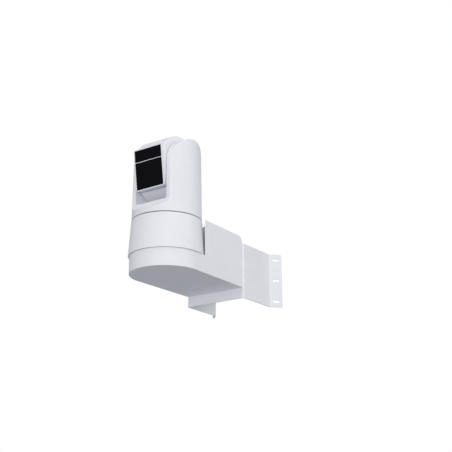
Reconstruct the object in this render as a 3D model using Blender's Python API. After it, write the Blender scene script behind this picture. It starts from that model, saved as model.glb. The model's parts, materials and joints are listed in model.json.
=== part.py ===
"""Pan-tilt monitor camera on a cantilever arm with an outside-corner wall bracket.

Frame: metres, +Z up. The origin is the corner edge of the column that the bracket clasps, at the
bracket's middle height. The column stands behind it (+Y), and the camera looks along -Y.
"""
import math

import bmesh
import bpy
from mathutils import Matrix, Vector

# ---- Fits and faceting -------------------------------------------------------------------------
GAP = 0.0003                # between pieces that touch
SLIP = 0.0012               # between pieces that pass each other
WIDE_ROUND = 64             # facets on housings
SMALL_ROUND = 20            # facets on shafts, bosses and bores
TINY_ROUND = 8              # facets on screws

# ---- Corner bracket, bent from one sheet -------------------------------------------------------
SHEET = 0.0020
BEND_RADIUS = 0.0015        # inside radius of each bend
BRACKET_HALF_WIDTH = 0.0625
BRACKET_HEIGHT = 0.1007
WING_LENGTH = 0.0866        # plate front to flange bend
FLANGE_LENGTH = 0.0239
FLANGE_CORNER = 0.0030
SLOT_LENGTH = 0.0130
SLOT_HEIGHT = 0.0050
SLOT_PITCH = 0.0396
CABLE_HOLE = (0.020, 0.014)  # half width and half height
CABLE_HOLE_CORNER = 0.004
PIN_HOLE_RADIUS = 0.0013    # pair of small holes at one front bend
PIN_HOLE_HEIGHTS = (-0.0114, -0.0214)

# ---- Arm ---------------------------------------------------------------------------------------
ARM_REACH = 0.1426          # plate front to pan axis
ARM_NOSE_RADIUS = 0.0629
ARM_REAR_HALF_WIDTH = 0.0603
ARM_WALL = 0.0030
SHELF_THICKNESS = 0.0310
SHELF_TOP = -0.0004         # above the bracket's middle height
BLOCK_HEIGHT = 0.0631       # tall rear block above the shelf
BLOCK_CORNER = 0.0120       # radius of its rear top corner
COVE_CLEARANCE = 0.0024     # radial, between the block's hollow front and the base's foot
BOLT_RADIUS = 0.0024
BOLT_LENGTH = 0.0150
BOLT_INSET = 0.0045         # from the arm's inner walls
UPPER_BOLT_DROP = 0.0100    # below the bracket's top edge
ARM_BOSS_RADIUS = 0.0050

# ---- Base --------------------------------------------------------------------------------------
BASE_HEIGHT = 0.0628
BASE_FOOT_RADIUS = 0.0653
BASE_TOP_RADIUS = 0.0612
CASE_WALL = 0.0025
LOCK_PLATE_RADIUS = 0.0380
LOCK_PLATE_SHEET = 0.0015
LOCK_STUD_CIRCLE = 0.0280
LOCK_SCREW_CIRCLE = 0.0120
BASE_PLATE_THICKNESS = 0.0025
BASE_PLATE_HOLE = 0.0180
BASE_SCREW_INSET = 0.0043   # from the case's inner wall
BOARD_RADIUS = 0.0480
BOARD_THICKNESS = 0.0016
BOARD_STANDOFF = 0.0075
PORT_WIDTH = 0.0390
PORT_HEIGHT = 0.0155
JACK_HEIGHT = 0.0135
JACK_DEPTH = 0.0200
BUTTON_RADIUS = 0.0015
BUTTON_TRAVEL = 0.0006

# ---- Pan drive ---------------------------------------------------------------------------------
MODULE = 0.0010             # tooth size of every gear
PAN_GEAR_TEETH = 48
PAN_PINION_TEETH = 12
GEAR_THICKNESS = 0.0040
SPINDLE_RADIUS = 0.0140
SPINDLE_BORE = 0.0085
SPINDLE_STEP = 0.0030       # shoulder that the pan gear seats on
PAN_BEARING_RADIUS = 0.0227
PAN_BEARING_HEIGHT = 0.0070
HUB_LENGTH = 0.0100
HUB_WALL = 0.0030
DRIVE_PLATE_RADIUS = 0.0430
DRIVE_PLATE_SHEET = 0.0015
PAN_MOTOR_RADIUS = 0.0120
SHAFT_RADIUS = 0.0012
POST_RADIUS = 0.0030

# ---- Head (yoke) -------------------------------------------------------------------------------
SEAM = 0.0015               # shadow gap between base and head
HEAD_RADIUS = 0.0607
HEAD_TOP_RADIUS = 0.0593    # at the tilt axis
HEAD_LEDGE = 0.0110         # full round band above the head's lower edge
FACET_FILLET = 0.0160
ARCH_RADIUS = 0.0443        # of the arms, and the distance of their flat faces from the pan axis
SLOT_FLOOR_RISE = 0.0244    # slot floor above the head's lower edge
SLOT_CORNER = 0.0022
TILT_RISE = 0.0941          # tilt axis above the head's lower edge
FLOOR_THICKNESS = 0.0025
COVER_THICKNESS = 0.0020
HEAD_SCREW_CIRCLE = 0.0505

# ---- Tilt drum ---------------------------------------------------------------------------------
DRUM_RADIUS = 0.0562
DRUM_HALF_WIDTH = 0.0323
DRUM_EDGE = 0.0030
DRUM_WALL = 0.0025
DRUM_FLAT = 0.0503          # flat front face, from the tilt axis
WINDOW_FACE = 0.05275       # rim of the window frame, from the tilt axis
WINDOW_TILT = math.radians(7.5)
WINDOW_DROP = 0.0031        # window centre below the tilt axis, along the face
WINDOW_SIDE_MARGIN = 0.0033  # drum's end face to the glass
WINDOW_HALF_HEIGHT = 0.0352
WINDOW_CORNER = 0.0020
RIM = 0.0018
BEZEL_DEPTH = 0.0165
DIVIDER = 0.0009
DIVIDER_RISE = 0.0136       # above the window's centre
GLASS = 0.0012
GLASS_SETBACK = 0.00015
GLASS_LEDGE = 0.0020
TRUNNION_RADIUS = 0.0067
TRUNNION_BORE = 0.0035
TRUNNION_FLANGE = 0.0120
TILT_BEARING_RADIUS = 0.0107
TILT_BEARING_WIDTH = 0.0040
BEARING_BOSS_WALL = 0.0025
TILT_GEAR_TEETH = 38
TILT_PINION_TEETH = 10
TILT_MOTOR_RADIUS = 0.0095
MOTOR_PLATE_SHEET = 0.0015
LENS_BARREL_RADIUS = 0.0140
LENS_BARREL_LENGTH = 0.0260
MODULE_FRAME_SET = 0.0180   # camera frame's back face, from the tilt axis
MODULE_FRAME_SHEET = 0.0020

# ---- Places worked out from the sizes ----------------------------------------------------------
DIAGONAL = math.sqrt(2)
FLANGE_BEND_Y = BRACKET_HALF_WIDTH - SHEET * DIAGONAL
PLATE_FRONT_Y = FLANGE_BEND_Y - WING_LENGTH
PAN_Y = PLATE_FRONT_Y - ARM_REACH
PIN_HOLE_Y = PLATE_FRONT_Y + 0.0026
ARM_REAR_Y = PLATE_FRONT_Y - GAP
SHELF_BOTTOM = SHELF_TOP - SHELF_THICKNESS
BLOCK_TOP = SHELF_TOP + BLOCK_HEIGHT
COVE_RADIUS = BASE_FOOT_RADIUS + COVE_CLEARANCE
BOLT_X = ARM_REAR_HALF_WIDTH - ARM_WALL - BOLT_INSET
BOLT_HEIGHTS = (SHELF_BOTTOM + ARM_WALL + BOLT_INSET, BRACKET_HEIGHT / 2 - UPPER_BOLT_DROP)

LOCK_PLATE_Z = SHELF_TOP + GAP
BASE_PLATE_Z = LOCK_PLATE_Z + LOCK_PLATE_SHEET + GAP
BASE_BOTTOM = SHELF_TOP + GAP
BASE_TOP = SHELF_TOP + BASE_HEIGHT
DECK_Z = BASE_TOP - CASE_WALL
HUB_Z = DECK_Z - HUB_LENGTH
BOARD_Z = BASE_PLATE_Z + BASE_PLATE_THICKNESS + BOARD_STANDOFF
BOARD_TOP = BOARD_Z + BOARD_THICKNESS
JACK_Z = BOARD_TOP + GAP
BASE_SCREW_CIRCLE = BASE_FOOT_RADIUS - CASE_WALL - BASE_SCREW_INSET
PAN_GEAR_TOP = HUB_Z - SLIP
PAN_GEAR_BOTTOM = PAN_GEAR_TOP - GEAR_THICKNESS
PAN_CENTRES = MODULE * (PAN_GEAR_TEETH + PAN_PINION_TEETH) / 2
DRIVE_PLATE_TOP = PAN_GEAR_BOTTOM - SLIP
DRIVE_POST_CIRCLE = DRIVE_PLATE_RADIUS - POST_RADIUS - SLIP

HEAD_Z = BASE_TOP + SEAM
TURNTABLE_Z = HEAD_Z + GAP
HEAD_INNER = HEAD_TOP_RADIUS - CASE_WALL
SLOT_FLOOR = HEAD_Z + SLOT_FLOOR_RISE
LEDGE_Z = HEAD_Z + HEAD_LEDGE
TILT_Z = HEAD_Z + TILT_RISE
SLOT_HALF_WIDTH = DRUM_HALF_WIDTH + SLIP
COVER_OUTER_X = SLOT_HALF_WIDTH + COVER_THICKNESS
TILT_GEAR_X = COVER_OUTER_X + TILT_BEARING_WIDTH + 2 * SLIP
TILT_CENTRES = MODULE * (TILT_GEAR_TEETH + TILT_PINION_TEETH) / 2
MOTOR_PLATE_X = TILT_GEAR_X + GEAR_THICKNESS + SLIP
TILT_MOTOR_X = MOTOR_PLATE_X + MOTOR_PLATE_SHEET + GAP

WINDOW_HALF_WIDTH = DRUM_HALF_WIDTH - WINDOW_SIDE_MARGIN
FRAME_HALF_WIDTH = WINDOW_HALF_WIDTH + RIM
FRAME_HALF_HEIGHT = WINDOW_HALF_HEIGHT + RIM
BEZEL_BACK = WINDOW_FACE - BEZEL_DEPTH
GLASS_FRONT = WINDOW_FACE - GLASS_SETBACK
GLASS_BACK = GLASS_FRONT - GLASS
LENS_RISE = -WINDOW_DROP + (DIVIDER_RISE - DIVIDER / 2 - WINDOW_HALF_HEIGHT) / 2
SENSOR_RISE = -WINDOW_DROP + (DIVIDER_RISE + DIVIDER / 2 + WINDOW_HALF_HEIGHT) / 2
MODULE_FRAME_FRONT = MODULE_FRAME_SET + MODULE_FRAME_SHEET

# ---- Working frames: outlines are drawn in local X and Y and extruded along local Z ------------
PLAN = Matrix.Translation((0, PAN_Y, 0))
SIDE = Matrix(((0, 0, 1, 0), (1, 0, 0, PAN_Y), (0, 1, 0, 0), (0, 0, 0, 1)))
REAR = Matrix(((1, 0, 0, 0), (0, 0, -1, 0), (0, 1, 0, 0), (0, 0, 0, 1)))
TILT = Matrix(((0, 0, 1, 0), (1, 0, 0, PAN_Y), (0, 1, 0, TILT_Z), (0, 0, 0, 1)))
TILT_LEFT = TILT @ Matrix.Rotation(math.pi, 4, "Y")
WINDOW = (Matrix.Translation((0, PAN_Y, TILT_Z))
          @ Matrix.Rotation(math.pi / 2 + WINDOW_TILT, 4, "X"))


# ---- Materials ---------------------------------------------------------------------------------
def make_material(name, colour, roughness, metallic=0.0):
    material = bpy.data.materials.new(name)
    material.use_nodes = True
    shader = material.node_tree.nodes["Principled BSDF"]
    shader.inputs["Base Color"].default_value = (*colour, 1.0)
    shader.inputs["Roughness"].default_value = roughness
    shader.inputs["Metallic"].default_value = metallic
    return material


FINISHES = {
    "white_plastic": ((0.80, 0.80, 0.84), 0.42, 0.0),
    "white_paint": ((0.80, 0.80, 0.83), 0.38, 0.0),
    "white_casting": ((0.80, 0.80, 0.83), 0.40, 0.0),
    "black_glass": ((0.010, 0.010, 0.014), 0.08, 0.0),
    "black_plastic": ((0.030, 0.030, 0.034), 0.50, 0.0),
    "zinc_steel": ((0.56, 0.57, 0.60), 0.35, 1.0),
    "gear_plastic": ((0.72, 0.70, 0.62), 0.45, 0.0),
    "circuit_board": ((0.020, 0.150, 0.070), 0.50, 0.0),
    "lens_glass": ((0.060, 0.070, 0.110), 0.05, 0.0),
}


# ---- Outlines ----------------------------------------------------------------------------------
def arc(centre, radius, start, end, steps):
    """Points on an arc, both ends included; angles in degrees."""
    angles = [math.radians(start + (end - start) * i / steps) for i in range(steps + 1)]
    return [(centre[0] + radius * math.cos(a), centre[1] + radius * math.sin(a)) for a in angles]


def circle(radius, centre=(0, 0), steps=SMALL_ROUND):
    return arc(centre, radius, 0, 360, steps)[:-1]


def rectangle(low, high):
    return [low, (high[0], low[1]), high, (low[0], high[1])]


def rounded_rectangle(half_x, half_y, radius, centre=(0, 0)):
    points = []
    for sign_x, sign_y, start in ((1, 1, 0), (-1, 1, 90), (-1, -1, 180), (1, -1, 270)):
        corner = (centre[0] + sign_x * (half_x - radius), centre[1] + sign_y * (half_y - radius))
        points += arc(corner, radius, start, start + 90, 4)
    return points


def stadium(length, width, centre=(0, 0)):
    reach = (length - width) / 2
    right = arc((centre[0] + reach, centre[1]), width / 2, -90, 90, 6)
    left = arc((centre[0] - reach, centre[1]), width / 2, 90, 270, 6)
    return right + left


def around(radius, count, start=0.0):
    """Centres evenly spaced on a circle; start in degrees."""
    angles = [math.radians(start) + 2 * math.pi * i / count for i in range(count)]
    return [(radius * math.cos(a), radius * math.sin(a)) for a in angles]


def gear_outline(teeth, first_tooth):
    """Straight-flanked spur gear; first_tooth is one tooth's direction in degrees."""
    pitch_radius = MODULE * teeth / 2
    pressure = math.tan(math.radians(20))
    backlash = 0.30 * MODULE
    half_tooth = (math.pi * MODULE / 2 - backlash) / 2
    addendum, dedendum = 0.85 * MODULE, 1.20 * MODULE
    tip, root = pitch_radius + addendum, pitch_radius - dedendum
    half_tip = (half_tooth - addendum * pressure) / tip
    half_root = (half_tooth + dedendum * pressure) / root
    points = []
    for i in range(teeth):
        middle = math.radians(first_tooth) + 2 * math.pi * i / teeth
        for radius, turn in ((root, -half_root), (tip, -half_tip), (tip, half_tip), (root, half_root)):
            angle = middle + turn
            points.append((radius * math.cos(angle), radius * math.sin(angle)))
    return points


# ---- Solids ------------------------------------------------------------------------------------
def prism(outline, low, high, mesh=None):
    """An outline extruded along local Z; mesh collects several prisms in one."""
    mesh = mesh or bmesh.new()
    bottom = [mesh.verts.new((x, y, low)) for x, y in outline]
    top = [mesh.verts.new((x, y, high)) for x, y in outline]
    mesh.faces.new(bottom[::-1])
    mesh.faces.new(top)
    for i, corner in enumerate(bottom):
        after = (i + 1) % len(bottom)
        mesh.faces.new((corner, bottom[after], top[after], top[i]))
    return mesh


def prisms(outlines, low, high):
    mesh = bmesh.new()
    for outline in outlines:
        prism(outline, low, high, mesh)
    return mesh


def box(low, high, mesh=None):
    return prism(rectangle(low[:2], high[:2]), low[2], high[2], mesh)


def turned(profile, segments=WIDE_ROUND):
    """A profile of (radius, height) points turned about local Z.

    It runs from the axis back to the axis, or closes on itself where it stays clear of the axis.
    """
    mesh = bmesh.new()
    rings = []
    for radius, height in profile:
        if radius == 0:
            rings.append([mesh.verts.new((0, 0, height))] * segments)
        else:
            rings.append([mesh.verts.new((x, y, height)) for x, y in circle(radius, steps=segments)])
    closed = all(radius > 0 for radius, _ in profile)
    following = rings[1:] + (rings[:1] if closed else [])
    for ring, after in zip(rings, following):
        for i in range(segments):
            j = (i + 1) % segments
            corners = list(dict.fromkeys((ring[i], ring[j], after[j], after[i])))
            if len(corners) > 2:
                mesh.faces.new(corners)
    return mesh


def tube(outer, inner, low, high, segments=SMALL_ROUND):
    return turned([(inner, low), (outer, low), (outer, high), (inner, high)], segments)


def rod(radius, low, high, segments=SMALL_ROUND):
    return prism(circle(radius, steps=segments), low, high)


def add(name, mesh, finish, carrier, frame=None, segments_smooth=30):
    """Make one object of a mesh drawn in a working frame, hung from its carrier empty."""
    if frame is not None:
        mesh.transform(frame)
    mesh.transform(Matrix.Translation(-carrier.matrix_world.translation))
    bmesh.ops.recalc_face_normals(mesh, faces=mesh.faces)
    data = bpy.data.meshes.new(name)
    mesh.to_mesh(data)
    mesh.free()
    data.shade_smooth()
    data.set_sharp_from_angle(angle=math.radians(segments_smooth))
    data.materials.append(bpy.data.materials[finish])
    thing = bpy.data.objects.new(name, data)
    bpy.context.scene.collection.objects.link(thing)
    thing.parent = carrier
    return thing


def shape(target, operation, mesh, frame=None):
    """Cut, join or intersect a target with a guide that never shows."""
    count = len(target.modifiers) + 1
    guide = add(f"{target.name}_guide_{count}", mesh, target.data.materials[0].name, target.parent, frame)
    guide.hide_render = True
    guide.display_type = "WIRE"
    step = target.modifiers.new(guide.name, "BOOLEAN")
    step.operation = operation
    step.solver = "EXACT"
    step.object = guide
    return guide


def carrier(name, position, parent=None):
    empty = bpy.data.objects.new(name, None)
    bpy.context.scene.collection.objects.link(empty)
    empty.parent = parent
    offset = parent.matrix_world.translation if parent else Vector((0, 0, 0))
    empty.location = Vector(position) - offset
    bpy.context.view_layer.update()
    return empty


def screw(name, body, frame, place, head_radius, head_height, shank_radius, shank_length):
    """Pan-head screw with a round drive; the shank points along local +Z from the head's seat."""
    drive = head_radius * 0.45
    profile = [(0, -head_height * 0.4), (drive, -head_height * 0.4), (drive, -head_height),
               (head_radius * 0.8, -head_height), (head_radius, -head_height * 0.6),
               (head_radius, 0), (shank_radius, 0), (shank_radius, shank_length), (0, shank_length)]
    return add(name, turned(profile, TINY_ROUND), "zinc_steel", body,
               frame @ Matrix.Translation(place))


# ---- Corner bracket ----------------------------------------------------------------------------
def sheet_stations():
    """Half of the bent sheet, flange tip to plate: (front point, back point, half height)."""
    half = BRACKET_HEIGHT / 2
    along = Vector((1, 1)) / DIAGONAL
    through = Vector((-1, 1)) / DIAGONAL * SHEET
    bend = Vector((BRACKET_HALF_WIDTH, FLANGE_BEND_Y))
    stations = []
    for degrees in (0, 22.5, 45, 67.5, 90):
        angle = math.radians(degrees)
        inset = FLANGE_CORNER * (1 - math.cos(angle))
        front = bend + along * (FLANGE_LENGTH - inset)
        stations.append((front, front + through, half - FLANGE_CORNER * (1 - math.sin(angle))))
    outside = (BRACKET_HALF_WIDTH + BEND_RADIUS, FLANGE_BEND_Y - BEND_RADIUS * (DIAGONAL - 1))
    inner = arc(outside, BEND_RADIUS, 135, 180, 3)
    outer = arc(outside, BEND_RADIUS + SHEET, 135, 180, 3)
    stations += [(Vector(a), Vector(b), half) for a, b in zip(inner, outer)]
    reach = BEND_RADIUS + SHEET
    inside = (BRACKET_HALF_WIDTH - reach, PLATE_FRONT_Y + reach)
    outer = arc(inside, reach, 0, -90, 6)
    inner = arc(inside, BEND_RADIUS, 0, -90, 6)
    stations += [(Vector(a), Vector(b), half) for a, b in zip(outer, inner)]
    return stations


def bent_sheet():
    right = sheet_stations()
    left = [(Vector((-a.x, a.y)), Vector((-b.x, b.y)), half) for a, b, half in reversed(right)]
    mesh = bmesh.new()
    rings = []
    for front, back, half in right + left:
        corners = ((front, -half), (front, half), (back, half), (back, -half))
        rings.append([mesh.verts.new((point.x, point.y, z)) for point, z in corners])
    mesh.faces.new(rings[0])
    mesh.faces.new(rings[-1][::-1])
    for ring, after in zip(rings, rings[1:]):
        for i in range(4):
            j = (i + 1) % 4
            mesh.faces.new((ring[i], after[i], after[j], ring[j]))
    return mesh


def flange_frame(side):
    """Local X along the flange from its bend, local Y up, local Z through the sheet."""
    along = Vector((side, 1, 0)) / DIAGONAL
    up = Vector((0, 0, 1))
    through = along.cross(up)
    columns = Matrix((along, up, through)).transposed().to_4x4()
    return Matrix.Translation((side * BRACKET_HALF_WIDTH, FLANGE_BEND_Y, 0)) @ columns


def make_bracket(root):
    bracket = add("corner_bracket", bent_sheet(), "white_paint", root)
    middle = FLANGE_LENGTH * 0.53
    slots = [stadium(SLOT_LENGTH, SLOT_HEIGHT, (middle, step * SLOT_PITCH)) for step in (-1, 0, 1)]
    for side in (-1, 1):
        shape(bracket, "DIFFERENCE", prisms(slots, -3 * SHEET, 3 * SHEET), flange_frame(side))
    cable = rounded_rectangle(*CABLE_HOLE, CABLE_HOLE_CORNER, (0, cable_height()))
    bores = [circle(BOLT_RADIUS + GAP, place) for place in bolt_places()]
    shape(bracket, "DIFFERENCE", prisms([cable] + bores, *plate_reach()), REAR)
    pair = [circle(PIN_HOLE_RADIUS, (PIN_HOLE_Y - PAN_Y, z), TINY_ROUND) for z in PIN_HOLE_HEIGHTS]
    shape(bracket, "DIFFERENCE", prisms(pair, BRACKET_HALF_WIDTH - 2 * SHEET, BRACKET_HALF_WIDTH + SHEET), SIDE)


def cable_height():
    """Middle of the cable way: the height of the base's sockets."""
    return JACK_Z + JACK_HEIGHT / 2


def plate_reach():
    return -PLATE_FRONT_Y - 2 * SHEET, -PLATE_FRONT_Y + SHEET


def bolt_places():
    return [(side * BOLT_X, height) for side in (-1, 1) for height in BOLT_HEIGHTS]


# ---- Arm ---------------------------------------------------------------------------------------
def arm_plan(inset, rear):
    """Nose and flanks seen from above, about the pan axis, drawn in by inset."""
    nose = ARM_NOSE_RADIUS - inset
    rear_half = ARM_REAR_HALF_WIDTH - inset
    return arc((0, 0), nose, 180, 360, WIDE_ROUND // 2) + [(rear_half, rear), (-rear_half, rear)]


def arm_side(inset, rear, open_back):
    """Block and shelf seen from +X, with the rounded rear top corner."""
    front = -2 * ARM_NOSE_RADIUS
    back = ARM_REAR_Y - PAN_Y
    top, bottom = BLOCK_TOP - inset, SHELF_BOTTOM + inset
    corner = arc((back - BLOCK_CORNER, BLOCK_TOP - BLOCK_CORNER), BLOCK_CORNER - inset, 90, 0, 8)
    lip = []
    if open_back:
        under = BLOCK_TOP - BLOCK_CORNER - ARM_WALL
        lip = [(back - inset, under), (rear, under)]
    return [(front, bottom), (front, top)] + corner + lip + [(rear, bottom)]


def make_arm(root):
    back = ARM_REAR_Y - PAN_Y
    wide = 2 * ARM_NOSE_RADIUS
    past = back + ARM_WALL
    arm = add("arm_shell", prism(arm_plan(0, back), SHELF_BOTTOM, BLOCK_TOP), "white_casting", root, PLAN)
    shape(arm, "INTERSECT", prism(arm_side(0, back, False), -wide, wide), SIDE)
    shape(arm, "DIFFERENCE", rod(COVE_RADIUS, SHELF_TOP, 2 * BLOCK_TOP, WIDE_ROUND), PLAN)
    hollow = shape(arm, "DIFFERENCE",
                   prism(arm_plan(ARM_WALL, past), SHELF_BOTTOM + ARM_WALL, BLOCK_TOP - ARM_WALL), PLAN)
    shape(hollow, "INTERSECT", prism(arm_side(ARM_WALL, past, True), -wide, wide), SIDE)
    shape(hollow, "DIFFERENCE",
          rod(COVE_RADIUS + ARM_WALL, SHELF_TOP - ARM_WALL, 2 * BLOCK_TOP, WIDE_ROUND), PLAN)
    bosses = [circle(ARM_BOSS_RADIUS, place) for place in bolt_places()]
    shape(arm, "UNION", prisms(bosses, -ARM_REAR_Y, -ARM_REAR_Y + BOLT_LENGTH), REAR)
    bores = [circle(BOLT_RADIUS + GAP, place) for place in bolt_places()]
    shape(arm, "DIFFERENCE", prisms(bores, -ARM_REAR_Y - SHEET, -ARM_REAR_Y + BOLT_LENGTH - SHEET), REAR)
    way = rounded_rectangle(*CABLE_HOLE, CABLE_HOLE_CORNER, (0, cable_height()))
    front = -PAN_Y - COVE_RADIUS
    shape(arm, "DIFFERENCE", prism(way, front - 3 * ARM_WALL, front + 3 * ARM_WALL), REAR)
    posts = [circle(POST_RADIUS, place) for place in lock_screw_places()]
    below = SHELF_TOP - ARM_WALL
    shape(arm, "UNION", prisms(posts, below - 2 * ARM_WALL, below + ARM_WALL / 2), PLAN)
    holes = [circle(SHAFT_RADIUS + GAP, place) for place in lock_screw_places()]
    shape(arm, "DIFFERENCE", prisms(holes, below - 2 * ARM_WALL + GAP, SHELF_TOP + GAP), PLAN)
    for number, (x, z) in enumerate(bolt_places(), 1):
        seat = -(PLATE_FRONT_Y + SHEET + GAP)
        screw(f"arm_bolt_{number}", root, REAR, (x, z, seat), 2 * BOLT_RADIUS, 1.4 * BOLT_RADIUS,
              BOLT_RADIUS, BOLT_LENGTH - SHEET)


# ---- Base --------------------------------------------------------------------------------------
def lock_screw_places():
    return around(LOCK_SCREW_CIRCLE, 3, 90)


def base_screw_places():
    return around(BASE_SCREW_CIRCLE, 3, 60)


def standoff_places():
    return around(BOARD_RADIUS - 2 * POST_RADIUS, 3, 0)


def drive_post_places():
    return around(DRIVE_POST_CIRCLE, 3, 0)


def make_lock_plate(root):
    top = LOCK_PLATE_Z + LOCK_PLATE_SHEET
    plate = add("lock_plate", rod(LOCK_PLATE_RADIUS, LOCK_PLATE_Z, top, WIDE_ROUND), "zinc_steel", root, PLAN)
    holes = [circle(SHAFT_RADIUS + GAP, place) for place in lock_screw_places()]
    shape(plate, "DIFFERENCE", prisms(holes, LOCK_PLATE_Z - SHEET, top + SHEET), PLAN)
    stem, head = SHAFT_RADIUS * 1.6, SHAFT_RADIUS * 2.8
    above = BASE_PLATE_Z + BASE_PLATE_THICKNESS + GAP
    stud = [(0, top - LOCK_PLATE_SHEET / 2), (stem, top - LOCK_PLATE_SHEET / 2), (stem, above),
            (head, above), (head, above + SHEET / 2), (0, above + SHEET / 2)]
    for x, y in around(LOCK_STUD_CIRCLE, 3, 30):
        shape(plate, "UNION", turned(stud, TINY_ROUND), PLAN @ Matrix.Translation((x, y, 0)))
    flip = Matrix.Rotation(math.pi, 4, "X")
    for number, (x, y) in enumerate(lock_screw_places(), 1):
        screw(f"lock_plate_screw_{number}", root, PLAN @ Matrix.Translation((x, y, top + GAP)) @ flip,
              (0, 0, 0), 2 * SHAFT_RADIUS, SHAFT_RADIUS, SHAFT_RADIUS, ARM_WALL * 2)


def make_base_plate(root):
    top = BASE_PLATE_Z + BASE_PLATE_THICKNESS
    edge = BASE_FOOT_RADIUS - CASE_WALL - SLIP
    plate = add("base_plate", tube(edge, BASE_PLATE_HOLE, BASE_PLATE_Z, top, WIDE_ROUND),
                "white_plastic", root, PLAN)
    posts = [circle(POST_RADIUS, place) for place in standoff_places()]
    shape(plate, "UNION", prisms(posts, BASE_PLATE_Z + CASE_WALL / 2, BOARD_Z - GAP), PLAN)
    stem, head = SHAFT_RADIUS * 1.6 + GAP, SHAFT_RADIUS * 2.8 + GAP
    for angle in (30, 150, 270):
        turn = Matrix.Rotation(math.radians(angle), 4, "Z") @ Matrix.Translation((LOCK_STUD_CIRCLE, 0, 0))
        key = [(-stem, 0)] + arc((0, 0), stem, 180, 360, 6)
        key += [(stem, 2 * head)] + arc((0, 3 * head), head, -55, 235, 12) + [(-stem, 2 * head)]
        shape(plate, "DIFFERENCE", prism(key, BASE_PLATE_Z - GAP, top + GAP), PLAN @ turn)
    holes = [circle(SHAFT_RADIUS + GAP, place) for place in base_screw_places()]
    shape(plate, "DIFFERENCE", prisms(holes, BASE_PLATE_Z - GAP, top + GAP), PLAN)
    sinks = [circle(2 * SHAFT_RADIUS + GAP, place) for place in base_screw_places()]
    seat = BASE_PLATE_Z + SHAFT_RADIUS
    shape(plate, "DIFFERENCE", prisms(sinks, BASE_PLATE_Z - GAP, seat), PLAN)
    for number, (x, y) in enumerate(base_screw_places(), 1):
        screw(f"base_screw_{number}", root, PLAN, (x, y, seat - GAP),
              2 * SHAFT_RADIUS, SHAFT_RADIUS - GAP, SHAFT_RADIUS, 0.009)


def make_base_shell(root):
    hub = PAN_BEARING_RADIUS + GAP
    eye = SPINDLE_RADIUS + SLIP
    edge = 0.0008
    profile = [(BASE_FOOT_RADIUS, BASE_BOTTOM), (BASE_TOP_RADIUS, BASE_TOP - edge),
               (BASE_TOP_RADIUS - edge, BASE_TOP), (eye, BASE_TOP), (eye, DECK_Z), (hub, DECK_Z),
               (hub, HUB_Z), (hub + HUB_WALL, HUB_Z), (hub + HUB_WALL, DECK_Z),
               (BASE_TOP_RADIUS - CASE_WALL, DECK_Z), (BASE_FOOT_RADIUS - CASE_WALL, BASE_BOTTOM)]
    case = add("base_shell", turned(profile), "white_plastic", root, PLAN)
    low = BASE_PLATE_Z + BASE_PLATE_THICKNESS + GAP
    bosses = [circle(2 * POST_RADIUS - SLIP, place) for place in base_screw_places()]
    shape(case, "UNION", prisms(bosses, low, low + 0.012), PLAN)
    holes = [circle(SHAFT_RADIUS + GAP, place) for place in base_screw_places()]
    shape(case, "DIFFERENCE", prisms(holes, low - GAP, low + 0.0095), PLAN)
    posts = [circle(POST_RADIUS, place) for place in drive_post_places()]
    shape(case, "UNION", prisms(posts, DRIVE_PLATE_TOP + GAP, DECK_Z + CASE_WALL / 2), PLAN)
    holes = [circle(SHAFT_RADIUS + GAP, place) for place in drive_post_places()]
    shape(case, "DIFFERENCE", prisms(holes, DRIVE_PLATE_TOP, DRIVE_PLATE_TOP + 0.008), PLAN)
    port = (-PORT_WIDTH / 2, BASE_TOP_RADIUS - 4 * CASE_WALL, BOARD_TOP)
    past = (PORT_WIDTH / 2, BASE_FOOT_RADIUS + CASE_WALL, BOARD_TOP + PORT_HEIGHT)
    shape(case, "DIFFERENCE", box(port, past), PLAN)


def make_electronics(root, button):
    board = add("main_board", rod(BOARD_RADIUS, BOARD_Z, BOARD_TOP, WIDE_ROUND), "circuit_board", root, PLAN)
    bore = rod(SPINDLE_BORE, BOARD_Z - GAP, BOARD_TOP + GAP)
    shape(board, "DIFFERENCE", bore, PLAN)
    chip = 0.007
    place = (0.024, -0.016)
    shape(board, "UNION", box((place[0] - chip, place[1] - chip, BOARD_TOP - GAP),
                              (place[0] + chip, place[1] + chip, BOARD_TOP + 0.0014)), PLAN)
    mouth = socket_face()
    back = mouth - JACK_DEPTH
    high = JACK_Z + JACK_HEIGHT
    network = add("network_jack", box((-0.0175, back, JACK_Z), (-0.0015, mouth, high)),
                  "zinc_steel", root, PLAN)
    shape(network, "DIFFERENCE", box((-0.0155, back + 0.006, JACK_Z + 0.002), (-0.0035, mouth + GAP, high - 0.003)),
          PLAN)
    power = add("power_jack", box((0.0015, back + 0.006, JACK_Z), (0.0105, mouth, high - 0.0025)),
                "black_plastic", root, PLAN)
    ring = tube(0.0032, 0.0011, back + 0.010 + PAN_Y, mouth + GAP + PAN_Y)
    flip = Matrix(((1, 0, 0, 0.006), (0, 0, 1, 0), (0, 1, 0, JACK_Z + 0.0055), (0, 0, 0, 1)))
    shape(power, "DIFFERENCE", ring, flip)
    switch = add("reset_switch", box((0.0125, back + 0.012, JACK_Z), (0.0185, mouth - 0.003, JACK_Z + 0.007)),
                 "black_plastic", root, PLAN)
    plunger = Matrix(((1, 0, 0, 0.0155), (0, 0, 1, PAN_Y), (0, 1, 0, JACK_Z + 0.0035), (0, 0, 0, 1)))
    shape(switch, "DIFFERENCE", rod(BUTTON_RADIUS + GAP, mouth - 0.0055, mouth), plunger)
    add("reset_button", rod(BUTTON_RADIUS, mouth - 0.0055 + GAP + BUTTON_TRAVEL, mouth),
        "white_plastic", button, plunger)


def socket_face():
    """Depth of the sockets' mouths behind the pan axis, just inside the case's rear wall."""
    return BASE_TOP_RADIUS - CASE_WALL - SLIP


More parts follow.
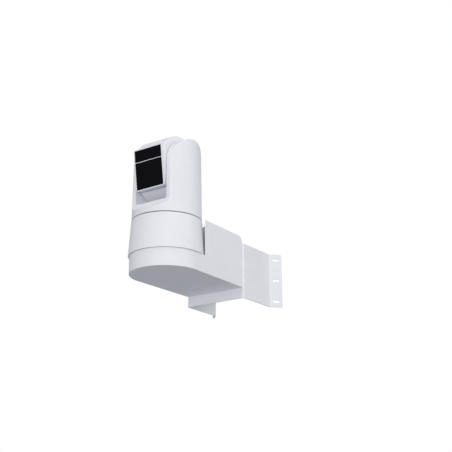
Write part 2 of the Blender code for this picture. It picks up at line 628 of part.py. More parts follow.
# ---- Pan drive ---------------------------------------------------------------------------------
def make_pan_drive(root, pan, pinion):
    race = (SPINDLE_RADIUS + GAP + PAN_BEARING_RADIUS) / 2
    low, high = DECK_Z - GAP - PAN_BEARING_HEIGHT, DECK_Z - GAP
    add("pan_bearing_outer", tube(PAN_BEARING_RADIUS, race + GAP, low, high, WIDE_ROUND // 2),
        "zinc_steel", root, PLAN)
    add("pan_bearing_inner", tube(race - GAP, SPINDLE_RADIUS + GAP, low, high, WIDE_ROUND // 2),
        "zinc_steel", pan, PLAN)
    bottom = DRIVE_PLATE_TOP - DRIVE_PLATE_SHEET
    plate = add("drive_plate", rod(DRIVE_PLATE_RADIUS, bottom, DRIVE_PLATE_TOP, WIDE_ROUND // 2),
                "zinc_steel", root, PLAN)
    holes = [circle(SHAFT_RADIUS + GAP, place) for place in drive_post_places()]
    holes.append(circle(SPINDLE_BORE))
    holes.append(circle(3 * SHAFT_RADIUS, (-PAN_CENTRES, 0)))
    shape(plate, "DIFFERENCE", prisms(holes, bottom - GAP, DRIVE_PLATE_TOP + GAP), PLAN)
    for number, (x, y) in enumerate(drive_post_places(), 1):
        screw(f"drive_plate_screw_{number}", root, PLAN, (x, y, bottom - GAP),
              2 * SHAFT_RADIUS, SHAFT_RADIUS, SHAFT_RADIUS, 0.007)
    motor_low = BOARD_TOP + 4 * SLIP
    spin = PLAN @ Matrix.Translation((-PAN_CENTRES, 0, 0))
    well = bottom - GAP - 0.004
    can = [(0, motor_low), (PAN_MOTOR_RADIUS, motor_low), (PAN_MOTOR_RADIUS, bottom - GAP),
           (SHAFT_RADIUS + GAP, bottom - GAP), (SHAFT_RADIUS + GAP, well), (0, well)]
    add("pan_motor", turned(can, SMALL_ROUND), "zinc_steel", root, spin)
    wheel = add("pan_pinion", prism(gear_outline(PAN_PINION_TEETH, 0), PAN_GEAR_BOTTOM, PAN_GEAR_TOP),
                "gear_plastic", pinion, spin)
    shape(wheel, "UNION", rod(SHAFT_RADIUS, well + GAP, PAN_GEAR_BOTTOM + GEAR_THICKNESS / 2, TINY_ROUND), spin)
    half_step = 180 / PAN_GEAR_TEETH
    gear = add("pan_gear", prism(gear_outline(PAN_GEAR_TEETH, 180 + half_step), PAN_GEAR_BOTTOM, PAN_GEAR_TOP),
               "gear_plastic", pan, PLAN)
    step = SPINDLE_RADIUS - SPINDLE_STEP
    shape(gear, "DIFFERENCE", rod(step + GAP, PAN_GEAR_BOTTOM - GAP, PAN_GEAR_TOP + GAP, WIDE_ROUND // 2), PLAN)


def make_turntable(pan):
    step = SPINDLE_RADIUS - SPINDLE_STEP
    top = TURNTABLE_Z + CASE_WALL
    edge = HEAD_RADIUS - CASE_WALL - SLIP
    profile = [(SPINDLE_BORE, PAN_GEAR_BOTTOM), (step, PAN_GEAR_BOTTOM), (step, PAN_GEAR_TOP + GAP),
               (SPINDLE_RADIUS, PAN_GEAR_TOP + GAP), (SPINDLE_RADIUS, TURNTABLE_Z), (edge, TURNTABLE_Z),
               (edge, top), (SPINDLE_BORE, top)]
    table = add("turntable", turned(profile), "black_plastic", pan, PLAN)
    holes = [circle(SHAFT_RADIUS + GAP, place) for place in head_screw_places()]
    shape(table, "DIFFERENCE", prisms(holes, TURNTABLE_Z - GAP, top + GAP), PLAN)
    sinks = [circle(2 * SHAFT_RADIUS + GAP, place) for place in head_screw_places()]
    seat = TURNTABLE_Z + SHAFT_RADIUS
    shape(table, "DIFFERENCE", prisms(sinks, TURNTABLE_Z - GAP, seat), PLAN)
    for number, (x, y) in enumerate(head_screw_places(), 1):
        screw(f"head_screw_{number}", pan, PLAN, (x, y, seat - GAP),
              2 * SHAFT_RADIUS, SHAFT_RADIUS - GAP, SHAFT_RADIUS, 0.005)


# ---- Head --------------------------------------------------------------------------------------
def head_screw_places():
    spread = math.radians(72)
    x, y = HEAD_SCREW_CIRCLE * math.cos(spread), HEAD_SCREW_CIRCLE * math.sin(spread)
    return [(x, y), (-x, y), (-x, -y), (x, -y)]


def head_side():
    """The head seen from +X: round band, hollow sweep to the flat faces, arch over the tilt axis."""
    reach = ARCH_RADIUS + FACET_FILLET
    far = max(HEAD_RADIUS, reach) * 1.1
    rear = [(far, HEAD_Z - GAP), (far, LEDGE_Z)]
    rear += arc((reach, LEDGE_Z + FACET_FILLET), FACET_FILLET, 270, 180, 10)
    arch = arc((0, TILT_Z), ARCH_RADIUS, 0, 180, WIDE_ROUND // 2)
    front = [(-y, z) for y, z in reversed(rear)]
    return rear + arch + front


def head_inside():
    """The hollow inside the band and the arms, seen from +X."""
    half = ARCH_RADIUS - CASE_WALL
    far = HEAD_RADIUS * 1.1
    ceiling = LEDGE_Z - CASE_WALL
    arch = arc((0, TILT_Z), half, 0, 180, WIDE_ROUND // 2)
    rear = [(far, HEAD_Z - CASE_WALL), (far, ceiling), (half, ceiling)]
    front = [(-y, z) for y, z in reversed(rear)]
    return rear + arch + front


def drafted_cylinder(inset, low, high):
    slope = (HEAD_RADIUS - HEAD_TOP_RADIUS) / TILT_RISE
    bottom = HEAD_RADIUS - inset - slope * (low - HEAD_Z)
    top = HEAD_RADIUS - inset - slope * (high - HEAD_Z)
    return turned([(0, low), (bottom, low), (top, high), (0, high)])


def slot_outline(top):
    """The slot seen from the rear, with rounded corners at its floor."""
    reach = SLOT_HALF_WIDTH - SLOT_CORNER
    low = SLOT_FLOOR + SLOT_CORNER
    left = arc((-reach, low), SLOT_CORNER, 180, 270, 4)
    right = arc((reach, low), SLOT_CORNER, 270, 360, 4)
    return left + right + [(SLOT_HALF_WIDTH, top), (-SLOT_HALF_WIDTH, top)]


def make_yoke(pan):
    top = TILT_Z + ARCH_RADIUS + CASE_WALL
    far = 2 * HEAD_RADIUS
    yoke = add("yoke_shell", drafted_cylinder(0, HEAD_Z, top), "white_plastic", pan, PLAN)
    shape(yoke, "INTERSECT", prism(head_side(), -far, far), SIDE)
    hollow = shape(yoke, "DIFFERENCE", drafted_cylinder(CASE_WALL, HEAD_Z - CASE_WALL, top), PLAN)
    shape(hollow, "INTERSECT", prism(head_inside(), -far, far), SIDE)
    under = SLOT_FLOOR - FLOOR_THICKNESS
    floor_half = SLOT_HALF_WIDTH - GAP
    shape(hollow, "DIFFERENCE", box((-floor_half, -far, under), (floor_half, far, top + far)), PLAN)
    shape(yoke, "DIFFERENCE", prism(slot_outline(top + far), -PAN_Y - far, -PAN_Y + far), REAR)
    base = TURNTABLE_Z + CASE_WALL + GAP
    bosses = [circle(POST_RADIUS, place) for place in head_screw_places()]
    shape(yoke, "UNION", prisms(bosses, base, LEDGE_Z - CASE_WALL / 2), PLAN)
    holes = [circle(SHAFT_RADIUS + GAP, place) for place in head_screw_places()]
    shape(yoke, "DIFFERENCE", prisms(holes, base - GAP, base + 0.0035), PLAN)


def cover_side():
    """Arm cover seen from +X; it closes the arm's open inner face inside the arch."""
    half = ARCH_RADIUS - CASE_WALL - GAP
    base = SLOT_FLOOR + GAP
    return [(-half, base - TILT_Z), (half, base - TILT_Z)] + arc((0, 0), half, 0, 180, WIDE_ROUND // 2)


def make_arm_cover(name, pan, frame, with_posts):
    cover = add(name, prism(cover_side(), SLOT_HALF_WIDTH, COVER_OUTER_X), "white_plastic", pan, frame)
    seat = TILT_BEARING_RADIUS + GAP
    ring = tube(seat + BEARING_BOSS_WALL, seat, COVER_OUTER_X - COVER_THICKNESS / 2,
                COVER_OUTER_X + TILT_BEARING_WIDTH + GAP)
    shape(cover, "UNION", ring, frame)
    eye = TRUNNION_RADIUS + SLIP
    shape(cover, "DIFFERENCE", rod(eye, SLOT_HALF_WIDTH - GAP, COVER_OUTER_X + GAP), frame)
    if with_posts:
        posts = [circle(POST_RADIUS, place) for place in motor_post_places()]
        shape(cover, "UNION", prisms(posts, COVER_OUTER_X - COVER_THICKNESS / 2, MOTOR_PLATE_X - GAP), frame)
        holes = [circle(SHAFT_RADIUS + GAP, place) for place in motor_post_places()]
        shape(cover, "DIFFERENCE", prisms(holes, MOTOR_PLATE_X - 0.007, MOTOR_PLATE_X), frame)
    inside = COVER_OUTER_X + GAP
    name_end = "left" if name.startswith("left") else "right"
    add(f"{name_end}_tilt_bearing", tube(TILT_BEARING_RADIUS, TRUNNION_RADIUS + GAP, inside,
                                         inside + TILT_BEARING_WIDTH), "zinc_steel", pan, frame)


def motor_post_places():
    """Two posts under the tilt motor, in the tilt frame's Y and Z."""
    spread = TILT_MOTOR_RADIUS + POST_RADIUS
    return [(-spread, -TILT_CENTRES - spread), (spread, -TILT_CENTRES - spread)]


def make_tilt_drive(pan, pinion):
    spread = TILT_MOTOR_RADIUS + 2 * POST_RADIUS
    low = -TILT_CENTRES - spread - POST_RADIUS
    outline = rounded_rectangle(spread, (spread + TILT_MOTOR_RADIUS + POST_RADIUS) / 2, POST_RADIUS,
                                (0, low + (spread + TILT_MOTOR_RADIUS + POST_RADIUS) / 2))
    end = MOTOR_PLATE_X + MOTOR_PLATE_SHEET
    plate = add("tilt_motor_mount", prism(outline, MOTOR_PLATE_X, end), "zinc_steel", pan, TILT)
    holes = [circle(SHAFT_RADIUS + GAP, place) for place in motor_post_places()]
    holes.append(circle(3 * SHAFT_RADIUS, (0, -TILT_CENTRES)))
    shape(plate, "DIFFERENCE", prisms(holes, MOTOR_PLATE_X - GAP, end + GAP), TILT)
    flip = Matrix.Rotation(math.pi, 4, "Y")
    for number, (y, z) in enumerate(motor_post_places(), 1):
        screw(f"tilt_mount_screw_{number}", pan, TILT @ Matrix.Translation((y, z, end + GAP)) @ flip,
              (0, 0, 0), 2 * SHAFT_RADIUS, SHAFT_RADIUS, SHAFT_RADIUS, 0.006)
    spin = TILT @ Matrix.Translation((0, -TILT_CENTRES, 0))
    room = math.sqrt((HEAD_INNER - GAP) ** 2 - TILT_MOTOR_RADIUS ** 2) - GAP
    well = TILT_MOTOR_X + 0.003
    can = [(0, well), (SHAFT_RADIUS + GAP, well), (SHAFT_RADIUS + GAP, TILT_MOTOR_X),
           (TILT_MOTOR_RADIUS, TILT_MOTOR_X), (TILT_MOTOR_RADIUS, room), (0, room)]
    add("tilt_motor", turned(can, SMALL_ROUND), "zinc_steel", pan, spin)
    end = TILT_GEAR_X + GEAR_THICKNESS
    wheel = add("tilt_pinion", prism(gear_outline(TILT_PINION_TEETH, 90), TILT_GEAR_X, end),
                "gear_plastic", pinion, spin)
    shape(wheel, "UNION", rod(SHAFT_RADIUS, end - GEAR_THICKNESS / 2, well - GAP, TINY_ROUND), spin)


# ---- Drum --------------------------------------------------------------------------------------
def drum_profile(radius, half, edge):
    """Half section of a drum with rounded rims, axis to axis."""
    lower = arc((radius - edge, -half + edge), edge, -90, 0, 3) if edge else [(radius, -half)]
    upper = [(r, -z) for r, z in reversed(lower)]
    return [(0, -half)] + lower + upper + [(0, half)]


def make_drum(tilt):
    drum = add("drum_shell", turned(drum_profile(DRUM_RADIUS, DRUM_HALF_WIDTH, DRUM_EDGE)),
               "white_plastic", tilt, TILT)
    inner = drum_profile(DRUM_RADIUS - DRUM_WALL, DRUM_HALF_WIDTH - DRUM_WALL, 0)
    shape(drum, "DIFFERENCE", turned(inner), TILT)
    far = 2 * DRUM_RADIUS
    shape(drum, "DIFFERENCE", box((-far, -far, DRUM_FLAT), (far, far, far)), WINDOW)
    pocket = rounded_rectangle(FRAME_HALF_WIDTH + GAP, FRAME_HALF_HEIGHT + GAP, WINDOW_CORNER + RIM,
                               (0, -WINDOW_DROP))
    shape(drum, "DIFFERENCE", prism(pocket, BEZEL_BACK - GAP, far), WINDOW)
    eye = rod(TRUNNION_RADIUS + GAP, -far, far)
    shape(drum, "DIFFERENCE", eye, TILT)
    for place in module_screw_places():
        side = math.copysign(1, place[0])
        wall = side * (DRUM_HALF_WIDTH - DRUM_WALL / 2)
        inner_x = place[0] - side * POST_RADIUS
        low_x, high_x = min(wall, inner_x), max(wall, inner_x)
        lug = box((low_x, place[1] - POST_RADIUS, MODULE_FRAME_SET - GAP - 0.006),
                  (high_x, place[1] + POST_RADIUS, MODULE_FRAME_SET - GAP))
        shape(drum, "UNION", lug, WINDOW)
    holes = [circle(SHAFT_RADIUS + GAP, place, TINY_ROUND) for place in module_screw_places()]
    shape(drum, "DIFFERENCE", prisms(holes, MODULE_FRAME_SET - 0.0055, MODULE_FRAME_SET), WINDOW)


def module_screw_places():
    side = DRUM_HALF_WIDTH - DRUM_WALL - POST_RADIUS
    return [(-side, 0.024), (side, 0.024)]


def make_trunnion(name, tilt, frame, end):
    inner = DRUM_HALF_WIDTH - DRUM_WALL - GAP
    profile = [(TRUNNION_BORE, inner - CASE_WALL), (TRUNNION_FLANGE, inner - CASE_WALL),
               (TRUNNION_FLANGE, inner), (TRUNNION_RADIUS, inner), (TRUNNION_RADIUS, end), (TRUNNION_BORE, end)]
    add(name, turned(profile, SMALL_ROUND), "gear_plastic", tilt, frame)


def make_tilt_gear(tilt):
    half_step = 180 / TILT_GEAR_TEETH
    gear = add("tilt_gear", prism(gear_outline(TILT_GEAR_TEETH, 270 + half_step), TILT_GEAR_X,
                                  TILT_GEAR_X + GEAR_THICKNESS), "gear_plastic", tilt, TILT)
    shape(gear, "DIFFERENCE", rod(TRUNNION_RADIUS + GAP, TILT_GEAR_X - GAP, TILT_GEAR_X + GEAR_THICKNESS + GAP),
          TILT)


def pane_spans():
    """Lower and upper pane, each as its centre height and half height in the window frame."""
    bottom, top = -WINDOW_HALF_HEIGHT, WINDOW_HALF_HEIGHT
    under, over = DIVIDER_RISE - DIVIDER / 2, DIVIDER_RISE + DIVIDER / 2
    lower = ((bottom + under) / 2 - WINDOW_DROP, (under - bottom) / 2)
    upper = ((over + top) / 2 - WINDOW_DROP, (top - over) / 2)
    return lower, upper


def pane(middle, half_height, grow):
    """A pane's outline, square at the divider and rounded at the window's corners."""
    return rounded_rectangle(WINDOW_HALF_WIDTH + grow, half_height + grow, WINDOW_CORNER / 2, (0, middle))


def make_window(tilt):
    frame = rounded_rectangle(FRAME_HALF_WIDTH, FRAME_HALF_HEIGHT, WINDOW_CORNER + RIM, (0, -WINDOW_DROP))
    bezel = add("window_frame", prism(frame, BEZEL_BACK, WINDOW_FACE), "white_plastic", tilt, WINDOW)
    behind = GLASS_BACK - GAP - GLASS_LEDGE
    hollow = rounded_rectangle(WINDOW_HALF_WIDTH - GLASS_LEDGE / 2, WINDOW_HALF_HEIGHT - GLASS_LEDGE / 2,
                               WINDOW_CORNER, (0, -WINDOW_DROP))
    shape(bezel, "DIFFERENCE", prism(hollow, BEZEL_BACK - GAP, behind), WINDOW)
    spans = pane_spans()
    holes = [pane(middle, half, -GLASS_LEDGE) for middle, half in spans]
    shape(bezel, "DIFFERENCE", prisms(holes, behind - GLASS_LEDGE, WINDOW_FACE + GAP), WINDOW)
    seats = [pane(middle, half, 0) for middle, half in spans]
    shape(bezel, "DIFFERENCE", prisms(seats, GLASS_BACK - GAP, WINDOW_FACE + 2 * GAP), WINDOW)
    clear = GAP / 2
    for name, (middle, half) in zip(("lens_window", "sensor_window"), spans):
        add(name, prism(pane(middle, half, -clear), GLASS_BACK, GLASS_FRONT), "black_glass", tilt, WINDOW)


def make_camera_module(tilt):
    half = DRUM_HALF_WIDTH - DRUM_WALL - GAP
    plate = rounded_rectangle(half, 0.032, POST_RADIUS, (0, -0.003))
    frame = add("camera_frame", prism(plate, MODULE_FRAME_SET, MODULE_FRAME_FRONT), "zinc_steel", tilt, WINDOW)
    eye = circle(LENS_BARREL_RADIUS - 2 * SLIP, (0, LENS_RISE))
    holes = [circle(SHAFT_RADIUS + GAP, place, TINY_ROUND) for place in module_screw_places()]
    shape(frame, "DIFFERENCE", prisms([eye] + holes, MODULE_FRAME_SET - GAP, MODULE_FRAME_FRONT + GAP), WINDOW)
    flip = Matrix.Rotation(math.pi, 4, "Y")
    for number, (x, up) in enumerate(module_screw_places(), 1):
        screw(f"camera_frame_screw_{number}", tilt,
              WINDOW @ Matrix.Translation((x, up, MODULE_FRAME_FRONT + GAP)) @ flip, (0, 0, 0),
              2 * SHAFT_RADIUS, SHAFT_RADIUS, SHAFT_RADIUS, 0.006)
    axis = WINDOW @ Matrix.Translation((0, LENS_RISE, 0))
    back = MODULE_FRAME_FRONT + GAP
    front = back + LENS_BARREL_LENGTH
    bore = LENS_BARREL_RADIUS - SHEET
    barrel = [(bore - SHEET, back), (LENS_BARREL_RADIUS + SHEET, back), (LENS_BARREL_RADIUS + SHEET, back + SHEET),
              (LENS_BARREL_RADIUS, back + SHEET), (LENS_BARREL_RADIUS, front), (bore, front),
              (bore, front - 3 * SHEET), (bore - SHEET, front - 3 * SHEET)]
    add("lens_barrel", turned(barrel, WIDE_ROUND // 2), "black_plastic", tilt, axis)
    lens = bore - GAP
    seat = front - 3 * SHEET + GAP
    bulge = [(lens * math.cos(math.radians(a)), seat + SHEET + SHEET * math.sin(math.radians(a)))
             for a in (0, 30, 60)]
    add("front_lens", turned([(0, seat), (lens, seat)] + bulge + [(0, seat + 2 * SHEET)], SMALL_ROUND),
        "lens_glass", tilt, axis)
    board_front = MODULE_FRAME_SET - 2 * SLIP
    board = rounded_rectangle(0.020, 0.018, POST_RADIUS, (0, LENS_RISE))
    sensor = add("sensor_board", prism(board, board_front - BOARD_THICKNESS, board_front), "circuit_board",
                 tilt, WINDOW)
    shape(sensor, "UNION", box((-0.006, LENS_RISE - 0.005, board_front - GAP),
                               (0.006, LENS_RISE + 0.005, board_front + 0.0015)), WINDOW)
    light_back = GLASS_BACK - 0.0075
    strip = rounded_rectangle(WINDOW_HALF_WIDTH - 0.005, 0.0078, SHEET, (0, SENSOR_RISE))
    add("infrared_board", prism(strip, light_back, light_back + BOARD_THICKNESS), "circuit_board", tilt, WINDOW)
    foot = light_back + BOARD_THICKNESS + GAP
    dome = [(0, foot), (0.0025, foot), (0.0025, foot + 0.0015)]
    dome += [(0.0025 * math.cos(math.radians(a)), foot + 0.0015 + 0.0022 * math.sin(math.radians(a)))
             for a in (30, 60)]
    dome.append((0, foot + 0.0037))
    for number, x in enumerate((-0.014, 0.014), 1):
        add(f"infrared_lamp_{number}", turned(dome, TINY_ROUND), "lens_glass", tilt,
            WINDOW @ Matrix.Translation((x, SENSOR_RISE, 0)))


# ---- Whole object ------------------------------------------------------------------------------
def build():
    for thing in list(bpy.data.objects):
        bpy.data.objects.remove(thing, do_unlink=True)
    for name, finish in FINISHES.items():
        make_material(name, *finish)
    root = carrier("mount_frame", (0, 0, 0))
    pan = carrier("pan_axis", (0, PAN_Y, HEAD_Z), root)
    tilt = carrier("tilt_axis", (0, PAN_Y, TILT_Z), pan)
    pan_pinion = carrier("pan_pinion_axis", (-PAN_CENTRES, PAN_Y, PAN_GEAR_BOTTOM), root)
    tilt_pinion = carrier("tilt_pinion_axis", (TILT_GEAR_X, PAN_Y, TILT_Z - TILT_CENTRES), pan)
    button = carrier("button_axis", (0.0155, PAN_Y + socket_face(), JACK_Z + 0.0035), root)
    make_bracket(root)
    make_arm(root)
    make_lock_plate(root)
    make_base_plate(root)
    make_base_shell(root)
    make_electronics(root, button)
    make_pan_drive(root, pan, pan_pinion)
    make_turntable(pan)
    make_yoke(pan)
    make_arm_cover("left_arm_cover", pan, TILT_LEFT, False)
    make_arm_cover("right_arm_cover", pan, TILT, True)
    make_tilt_drive(pan, tilt_pinion)
    make_drum(tilt)
    make_trunnion("left_trunnion", tilt, TILT_LEFT, COVER_OUTER_X + TILT_BEARING_WIDTH + SLIP)
    make_trunnion("right_trunnion", tilt, TILT, TILT_GEAR_X + GEAR_THICKNESS)
    make_tilt_gear(tilt)
    make_window(tilt)
    make_camera_module(tilt)


build()
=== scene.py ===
"""Looks of the pan-tilt monitor camera: finishes, softened edges, camera, light and floor."""
import json
import math

import bmesh
import bpy
from mathutils import Matrix, Vector


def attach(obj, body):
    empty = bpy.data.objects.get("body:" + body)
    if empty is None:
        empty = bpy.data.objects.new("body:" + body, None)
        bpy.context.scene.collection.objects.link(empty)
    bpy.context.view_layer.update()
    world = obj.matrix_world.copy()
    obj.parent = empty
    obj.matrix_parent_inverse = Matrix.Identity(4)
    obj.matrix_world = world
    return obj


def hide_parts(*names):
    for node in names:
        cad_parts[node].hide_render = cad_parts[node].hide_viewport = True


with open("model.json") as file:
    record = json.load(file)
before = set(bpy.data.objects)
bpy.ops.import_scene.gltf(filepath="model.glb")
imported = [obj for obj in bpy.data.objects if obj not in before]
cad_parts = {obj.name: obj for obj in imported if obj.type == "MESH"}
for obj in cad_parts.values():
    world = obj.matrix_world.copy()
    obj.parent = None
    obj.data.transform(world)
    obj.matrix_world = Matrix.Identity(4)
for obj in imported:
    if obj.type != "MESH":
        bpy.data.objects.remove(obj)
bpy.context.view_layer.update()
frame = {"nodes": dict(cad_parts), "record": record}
NODES = frame["nodes"]
RECORD = frame["record"]
SLOT_OF = {part["node"]: part["material_slot"] for part in RECORD["subparts"]}


# ---- Node helpers ------------------------------------------------------------------------------
def new_material(name, roughness, metallic=0.0, specular=0.5):
    material = bpy.data.materials.new(name)
    material.use_nodes = True
    shader = material.node_tree.nodes["Principled BSDF"]
    shader.inputs["Roughness"].default_value = roughness
    shader.inputs["Metallic"].default_value = metallic
    shader.inputs["Specular IOR Level"].default_value = specular
    return material, material.node_tree, shader


def place_coordinates(tree):
    return tree.nodes.new("ShaderNodeTexCoord").outputs["Object"]


def noise(tree, source, scale, detail=2.0, rough=0.5, stretch=None):
    if stretch:
        mapping = tree.nodes.new("ShaderNodeMapping")
        mapping.inputs["Scale"].default_value = stretch
        tree.links.new(source, mapping.inputs["Vector"])
        source = mapping.outputs["Vector"]
    node = tree.nodes.new("ShaderNodeTexNoise")
    node.inputs["Scale"].default_value = scale
    node.inputs["Detail"].default_value = detail
    node.inputs["Roughness"].default_value = rough
    tree.links.new(source, node.inputs["Vector"])
    return node.outputs["Fac"]


def ramp(tree, value, stops):
    node = tree.nodes.new("ShaderNodeValToRGB")
    elements = node.color_ramp.elements
    while len(elements) < len(stops):
        elements.new(0.5)
    for element, (position, colour) in zip(elements, stops):
        element.position = position
        element.color = (*colour, 1.0)
    tree.links.new(value, node.inputs["Fac"])
    return node.outputs["Color"]


def spread(tree, value, low, high):
    node = tree.nodes.new("ShaderNodeMapRange")
    node.inputs["To Min"].default_value = low
    node.inputs["To Max"].default_value = high
    tree.links.new(value, node.inputs["Value"])
    return node.outputs["Result"]


def bump(tree, shader, height, strength, distance, normal=None):
    node = tree.nodes.new("ShaderNodeBump")
    node.inputs["Strength"].default_value = strength
    node.inputs["Distance"].default_value = distance
    tree.links.new(height, node.inputs["Height"])
    if normal is not None:
        tree.links.new(normal, node.inputs["Normal"])
    tree.links.new(node.outputs["Normal"], shader.inputs["Normal"])
    return node.outputs["Normal"]


def tone(colour, factor):
    return tuple(channel * factor for channel in colour)


def grained(name, colour, roughness, grain, depth, specular=0.5, metallic=0.0, drift=0.03):
    """Moulded or painted finish: slow tonal drift, a fine grain in the relief and in the gloss."""
    material, tree, shader = new_material(name, roughness, metallic, specular)
    where = place_coordinates(tree)
    slow = noise(tree, where, 9.0, 3.0, 0.55)
    paint = ramp(tree, slow, [(0.30, tone(colour, 1.0 - drift)), (0.72, tone(colour, 1.0 + drift))])
    tree.links.new(paint, shader.inputs["Base Color"])
    fine = noise(tree, where, grain, 2.0, 0.6)
    gloss = spread(tree, fine, roughness - 0.07, roughness + 0.07)
    tree.links.new(gloss, shader.inputs["Roughness"])
    first = bump(tree, shader, fine, 0.35, depth)
    ripple = noise(tree, where, grain / 12.0, 2.0, 0.5)
    bump(tree, shader, ripple, 0.25, depth * 2.0, first)
    return material


def brushed(name, colour, roughness):
    material, tree, shader = new_material(name, roughness, 1.0)
    where = place_coordinates(tree)
    streak = noise(tree, where, 220.0, 3.0, 0.6, (1.0, 1.0, 14.0))
    paint = ramp(tree, streak, [(0.25, tone(colour, 0.86)), (0.75, tone(colour, 1.08))])
    tree.links.new(paint, shader.inputs["Base Color"])
    tree.links.new(spread(tree, streak, roughness - 0.10, roughness + 0.12), shader.inputs["Roughness"])
    bump(tree, shader, streak, 0.20, 0.00006)
    return material


def board_finish(name):
    material, tree, shader = new_material(name, 0.42)
    where = place_coordinates(tree)
    cells = tree.nodes.new("ShaderNodeTexVoronoi")
    cells.distance = "CHEBYCHEV"
    cells.inputs["Scale"].default_value = 260.0
    tree.links.new(where, cells.inputs["Vector"])
    paint = ramp(tree, cells.outputs["Distance"],
                 [(0.10, (0.46, 0.36, 0.14)), (0.20, (0.030, 0.170, 0.080)), (0.60, (0.018, 0.120, 0.055))])
    tree.links.new(paint, shader.inputs["Base Color"])
    bump(tree, shader, cells.outputs["Distance"], 0.20, 0.00008)
    return material


def dark_glass(name, colour, roughness, specular):
    material, tree, shader = new_material(name, roughness, 0.0, specular)
    where = place_coordinates(tree)
    slow = noise(tree, where, 24.0, 2.0)
    paint = ramp(tree, slow, [(0.3, tone(colour, 0.9)), (0.7, tone(colour, 1.15))])
    tree.links.new(paint, shader.inputs["Base Color"])
    tree.links.new(spread(tree, slow, roughness - 0.02, roughness + 0.03), shader.inputs["Roughness"])
    return material


FINISHES = {
    "white_casting": grained("white_casting_finish", (0.84, 0.84, 0.875), 0.54, 1500.0, 0.00006, 0.32),
    "white_paint": grained("white_paint_finish", (0.84, 0.84, 0.875), 0.52, 1300.0, 0.00006, 0.32),
    "white_plastic": grained("white_plastic_finish", (0.84, 0.84, 0.880), 0.54, 1900.0, 0.00005, 0.32),
    "black_glass": dark_glass("black_glass_finish", (0.0042, 0.0042, 0.0058), 0.16, 0.04),
    "black_plastic": grained("black_plastic_finish", (0.028, 0.028, 0.032), 0.52, 1700.0, 0.00006),
    "zinc_steel": brushed("zinc_steel_finish", (0.60, 0.61, 0.64), 0.34),
    "gear_plastic": grained("gear_plastic_finish", (0.72, 0.70, 0.62), 0.46, 1200.0, 0.00005),
    "circuit_board": board_finish("circuit_board_finish"),
    "lens_glass": dark_glass("lens_glass_finish", (0.030, 0.030, 0.055), 0.06, 0.60),
}

for node, thing in NODES.items():
    finish = FINISHES[SLOT_OF[node]]
    for place in thing.material_slots:
        place.material = finish
    if not thing.material_slots:
        thing.data.materials.append(finish)


# ---- Softened edges ----------------------------------------------------------------------------
BODY_OF = {node: body
           for body, members in RECORD["behaviour"]["bodies"].items()
           for node in members}


WELD = 1e-6                             # metres, between points that are one point
FLAT = math.radians(0.4)                # neighbouring faces closer than this are one face
EDGE = math.radians(40.0)               # edges sharper than this are rounded
SHARP = math.radians(38.0)              # and sharper than this stay crisp in the shading
EDGE_SEGMENTS = 2


def softened(node, width):
    """A piece with the node's own form and its edges rounded, as moulding and paint leave them."""
    mesh = bmesh.new()
    mesh.from_mesh(NODES[node].data)
    bmesh.ops.remove_doubles(mesh, verts=mesh.verts, dist=WELD)
    bmesh.ops.dissolve_limit(mesh, angle_limit=FLAT, verts=mesh.verts, edges=mesh.edges)
    bmesh.ops.recalc_face_normals(mesh, faces=mesh.faces)
    data = bpy.data.meshes.new(node + "_soft")
    mesh.to_mesh(data)
    mesh.free()
    data.materials.append(FINISHES[SLOT_OF[node]])
    piece = bpy.data.objects.new(node + "_soft", data)
    bpy.context.scene.collection.objects.link(piece)
    edge = piece.modifiers.new("edge", "BEVEL")
    edge.width = width
    edge.segments = EDGE_SEGMENTS
    edge.limit_method = "ANGLE"
    edge.angle_limit = EDGE
    edge.use_clamp_overlap = True
    bpy.context.view_layer.update()
    rounded = piece.evaluated_get(bpy.context.evaluated_depsgraph_get())
    shaped = bpy.data.meshes.new_from_object(rounded)
    piece.modifiers.clear()
    piece.data = shaped
    shaped.shade_smooth()
    shaped.set_sharp_from_angle(angle=SHARP)
    weigh = piece.modifiers.new("normals", "WEIGHTED_NORMAL")
    weigh.keep_sharp = True
    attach(piece, BODY_OF[node])
    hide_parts(node)


SOFT_EDGES = {                          # width of the rounding, metres
    "arm_shell": 0.0011,
    "base_shell": 0.0005,
    "yoke_shell": 0.0009,
    "drum_shell": 0.0007,
    "window_frame": 0.00035,
    "corner_bracket": 0.00045,
    "lens_window": 0.00012,
    "sensor_window": 0.00012,
}
for node, width in SOFT_EDGES.items():
    softened(node, width)


# ---- Camera ------------------------------------------------------------------------------------
PITCH = math.radians(18.547)
YAW = math.radians(34.889)
ROLL = math.radians(-0.308)
SENSOR = 36.0                           # millimetres
LENS = 74.834                           # millimetres
CAMERA_PLACE = (0.96158, -1.36997, -0.45884)
FARTHEST_SEEN = 50.0

ahead = Vector((-math.sin(YAW) * math.cos(PITCH), math.cos(YAW) * math.cos(PITCH), math.sin(PITCH)))
level = Vector((math.cos(YAW), math.sin(YAW), 0.0))
above = level.cross(ahead)
right = math.cos(ROLL) * level + math.sin(ROLL) * above
upward = -math.sin(ROLL) * level + math.cos(ROLL) * above
camera_data = bpy.data.cameras.new("camera")
camera_data.sensor_width = SENSOR
camera_data.lens = LENS
camera_data.clip_end = FARTHEST_SEEN
camera = bpy.data.objects.new("camera", camera_data)
bpy.context.scene.collection.objects.link(camera)
pose = Matrix((right, upward, -ahead)).transposed().to_4x4()
camera.matrix_world = Matrix.Translation(CAMERA_PLACE) @ pose
bpy.context.scene.camera = camera


# ---- Light, world and floor --------------------------------------------------------------------
bpy.context.scene.view_settings.view_transform = "Standard"


def area(name, position, target, size, power, colour=(1.0, 1.0, 1.0)):
    data = bpy.data.lights.new(name, "AREA")
    data.shape = "DISK"
    data.size = size
    data.energy = power
    data.color = colour
    lamp = bpy.data.objects.new(name, data)
    bpy.context.scene.collection.objects.link(lamp)
    lamp.location = position
    lamp.rotation_euler = (Vector(target) - Vector(position)).to_track_quat("-Z", "Y").to_euler()


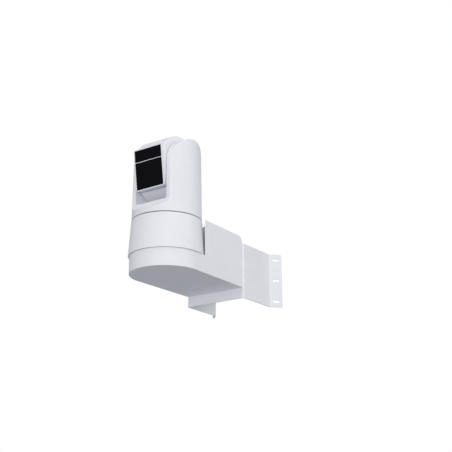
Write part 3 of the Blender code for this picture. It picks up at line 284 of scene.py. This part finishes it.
HEART = (0.0, -0.15, 0.08)              # middle of the object
SLOT_FRONT = (0.0, -0.22, 0.12)         # mouth of the slot below the drum
area("key", (1.00, -2.25, -0.25), HEART, 1.3, 18.5, (1.0, 0.995, 0.99))
area("fill", (0.45, -1.30, -0.30), SLOT_FRONT, 0.5, 1.4)
area("top", (0.9, -0.9, 2.2), HEART, 1.6, 10.0)
area("rim", (1.9, 0.5, 0.3), HEART, 1.4, 9.0)
area("back", (-1.2, 1.5, 0.9), HEART, 1.6, 5.0)

# The camera sees plain white. The light comes from a pale sky over a dark, cool nadir.
SEEN_STRENGTH = 1.0
LIT_STRENGTH = 0.54
world = bpy.data.worlds.new("studio")
world.use_nodes = True
bpy.context.scene.world = world
sky = world.node_tree
for node in list(sky.nodes):
    sky.nodes.remove(node)
output = sky.nodes.new("ShaderNodeOutputWorld")
seen = sky.nodes.new("ShaderNodeBackground")
seen.inputs["Color"].default_value = (1.0, 1.0, 1.0, 1.0)
seen.inputs["Strength"].default_value = SEEN_STRENGTH
lit = sky.nodes.new("ShaderNodeBackground")
lit.inputs["Strength"].default_value = LIT_STRENGTH
where = sky.nodes.new("ShaderNodeTexCoord").outputs["Generated"]
parts = sky.nodes.new("ShaderNodeSeparateXYZ")
sky.links.new(where, parts.inputs["Vector"])
height = sky.nodes.new("ShaderNodeMapRange")
height.inputs["From Min"].default_value = -1.0
height.inputs["From Max"].default_value = 1.0
sky.links.new(parts.outputs["Z"], height.inputs["Value"])
gradient = ramp(sky, height.outputs["Result"],
                [(0.0, (0.02, 0.05, 0.11)), (0.24, (0.08, 0.11, 0.18)), (0.41, (0.93, 0.95, 1.0)),
                 (1.0, (1.0, 1.0, 1.0))])
sky.links.new(gradient, lit.inputs["Color"])
switch = sky.nodes.new("ShaderNodeMixShader")
path = sky.nodes.new("ShaderNodeLightPath")
sky.links.new(path.outputs["Is Camera Ray"], switch.inputs["Fac"])
sky.links.new(lit.outputs["Background"], switch.inputs[1])
sky.links.new(seen.outputs["Background"], switch.inputs[2])
sky.links.new(switch.outputs["Shader"], output.inputs["Surface"])

FLOOR_DROP = 1.60                       # below the origin, so it hardly lights the underside
FLOOR_RADIUS = 1.40
FLOOR_MIDDLE_Y = 0.20
FLOOR_SEGMENTS = 96
disc = bmesh.new()
bmesh.ops.create_circle(disc, cap_ends=True, radius=FLOOR_RADIUS, segments=FLOOR_SEGMENTS)
floor_data = bpy.data.meshes.new("floor")
disc.to_mesh(floor_data)
disc.free()
floor = bpy.data.objects.new("floor", floor_data)
bpy.context.scene.collection.objects.link(floor)
floor.location = (0.0, FLOOR_MIDDLE_Y, -FLOOR_DROP)
floor_finish, floor_tree, floor_shader = new_material("floor_finish", 0.8)
floor_tone = ramp(floor_tree, noise(floor_tree, place_coordinates(floor_tree), 3.0),
                  [(0.3, (0.74, 0.74, 0.75)), (0.7, (0.78, 0.78, 0.79))])
floor_tree.links.new(floor_tone, floor_shader.inputs["Base Color"])
floor_data.materials.append(floor_finish)
